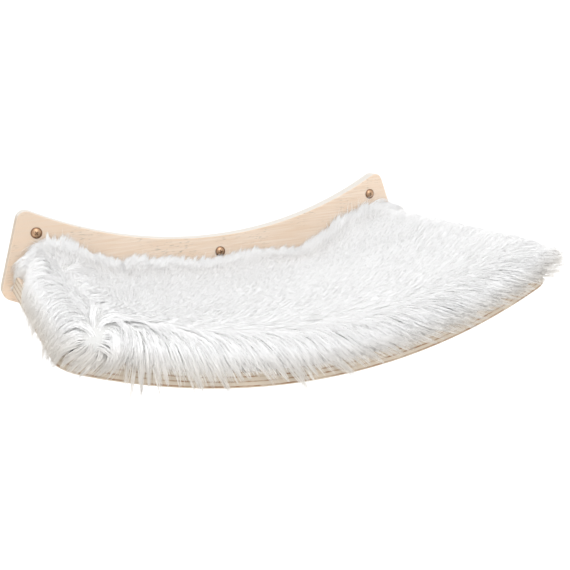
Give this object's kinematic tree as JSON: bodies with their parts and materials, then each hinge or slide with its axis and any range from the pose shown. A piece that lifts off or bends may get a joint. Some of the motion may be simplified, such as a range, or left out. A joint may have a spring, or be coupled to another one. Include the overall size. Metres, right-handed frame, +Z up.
{
  "type": "cat hammock",
  "caption": "Wall-hung cat hammock: a curved plywood wall plate carries a bent plywood seat with a white long-pile pad held by hook and loop.",
  "frame": {"origin": "on the wall plate's back face, on the centre line, halfway between the plate's top and bottom edges", "axes": "+Z up, +Y into the wall, +X to the right as seen from the room; the seat reaches out along -Y"},
  "size_m": [0.5526, 0.3951, 0.1653],
  "materials": {
    "plywood": "sanded birch-type plywood, clear matt, light laminated edges",
    "beech": "plain turned beech, unfinished",
    "antique_brass": "browned brass plating, polished dome",
    "zinc_plated_steel": "bright zinc plating",
    "hook_tape": "moulded nylon hooks on a stiff tape",
    "loop_tape": "brushed nylon loops",
    "base_cloth": "plain woven polyester",
    "wadding": "loose polyester fibre",
    "faux_fur": "white long-pile faux fur in clumped locks"
  },
  "bodies": {
    "root": {"back_plate": "plywood", "seat_board": "plywood", "wall_screw_left": "antique_brass", "wall_screw_centre": "antique_brass", "wall_screw_right": "antique_brass", "seat_screw_1": "zinc_plated_steel", "seat_screw_2": "zinc_plated_steel", "seat_screw_3": "zinc_plated_steel", "seat_screw_4": "zinc_plated_steel", "seat_screw_5": "zinc_plated_steel", "seat_dowel_1": "beech", "seat_dowel_2": "beech", "seat_dowel_3": "beech", "seat_dowel_4": "beech", "hook_patch_back_left": "hook_tape", "hook_patch_back_right": "hook_tape", "hook_patch_front_left": "hook_tape", "hook_patch_front_right": "hook_tape", "loop_patch_back_left": "loop_tape", "loop_patch_back_right": "loop_tape", "loop_patch_front_left": "loop_tape", "loop_patch_front_right": "loop_tape", "pad_base_cloth": "base_cloth", "pad_wadding": "wadding", "fur_cover": "faux_fur"}
  },
  "joints": []
}
